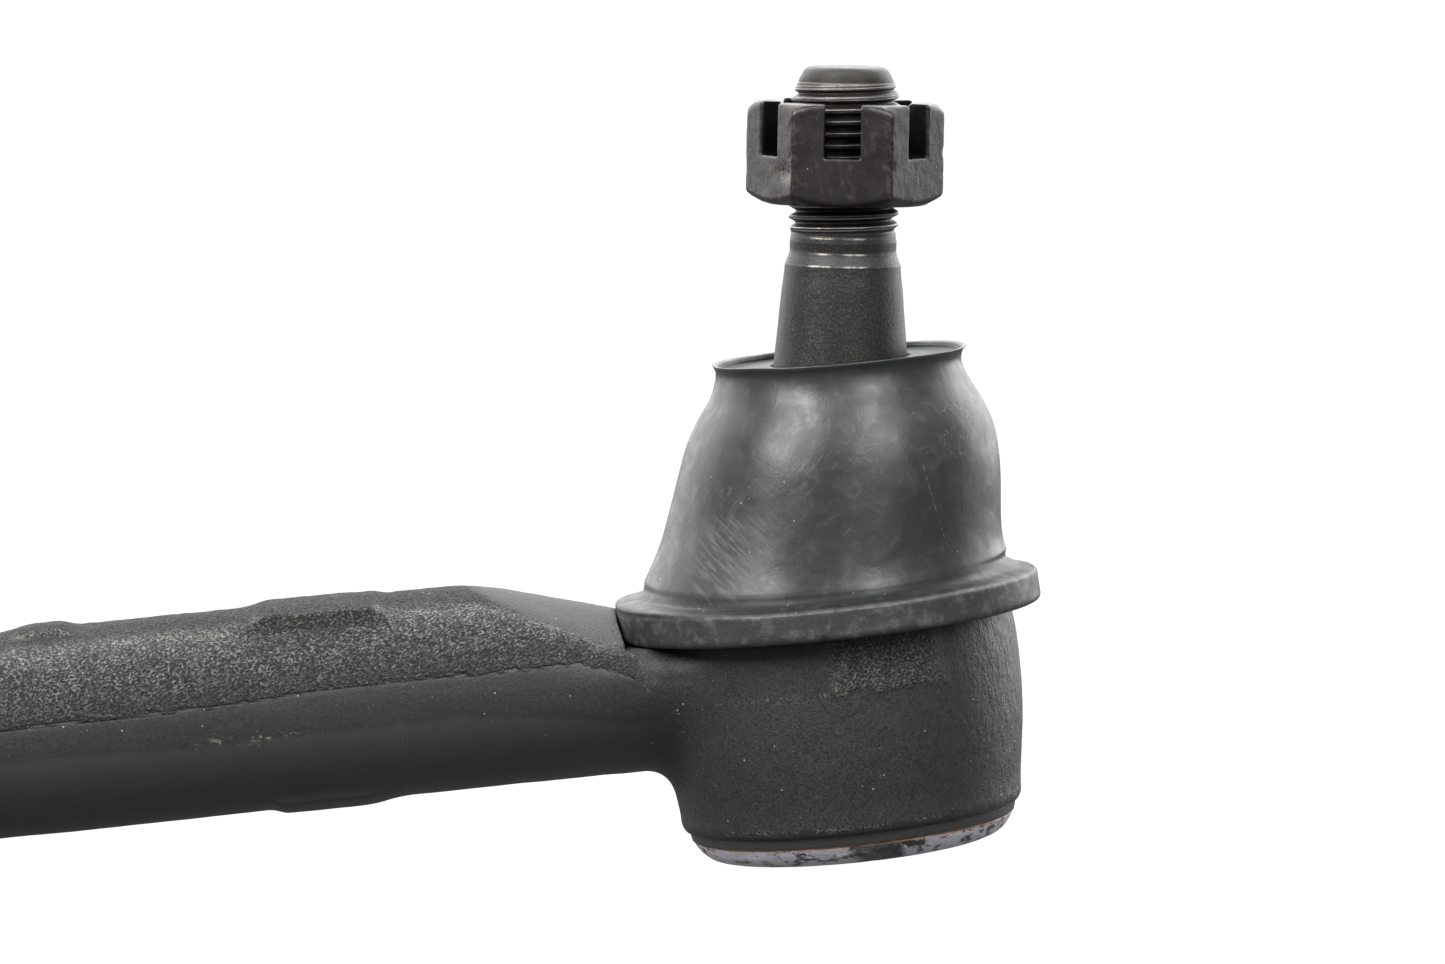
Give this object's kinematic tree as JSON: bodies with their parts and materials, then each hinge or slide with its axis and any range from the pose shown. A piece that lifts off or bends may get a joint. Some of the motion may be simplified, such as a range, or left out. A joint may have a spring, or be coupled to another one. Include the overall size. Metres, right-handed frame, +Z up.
{
  "type": "tie rod end",
  "caption": "Forged tie rod end with a threaded arm, a ball socket, a tapered ball stud under a rubber dust boot, and a slotted castle nut.",
  "frame": {"origin": "centre of the ball, the point that the stud swings about", "axes": "+Z up the socket's axis towards the castle nut, -X along the arm towards its threaded end, Y across"},
  "size_m": [0.165, 0.054, 0.1001],
  "materials": {
    "forging": "black-coated forged steel, grainy, satin",
    "stud_steel": "dark phosphated steel, fine turned grain, satin",
    "nut_steel": "black-oxide steel, satin, worn edges",
    "boot_rubber": "moulded black rubber, semi-gloss, dusty",
    "ring_steel": "plain pressed steel",
    "cap_steel": "pressed steel, zinc grey, satin",
    "spring_steel": "tempered spring steel",
    "bearing_polymer": "moulded acetal, off-white, matt"
  },
  "bodies": {
    "housing": {"socket_housing": "forging", "end_cap": "cap_steel", "upper_bearing": "bearing_polymer", "preload_spring": "spring_steel", "boot_base_ring": "ring_steel", "dust_boot": "boot_rubber"},
    "bearing": {"lower_bearing": "bearing_polymer"},
    "seal": {"boot_seal_ring": "ring_steel"},
    "stud": {"ball_stud": "stud_steel"},
    "nut": {"castle_nut": "nut_steel"}
  },
  "joints": [
    {"name": "swing_heading", "type": "hinge", "parent": "housing", "child": "bearing", "pos_m": [0, 0, 0], "axis": [0, 0, 1], "continuous": true},
    {"name": "stud_tilt", "type": "hinge", "parent": "bearing", "child": "seal", "pos_m": [0, 0, 0], "axis": [0, 1, 0], "range_deg": [-27, 13], "deforming": ["dust_boot"]},
    {"name": "stud_spin", "type": "hinge", "parent": "seal", "child": "stud", "pos_m": [0, 0, 0], "axis": [0.1219, 0, 0.9925], "continuous": true},
    {"name": "nut_travel", "type": "slide", "parent": "stud", "child": "nut", "axis": [0.1219, 0, 0.9925], "range_m": [-0.003, 0.015]}
  ]
}
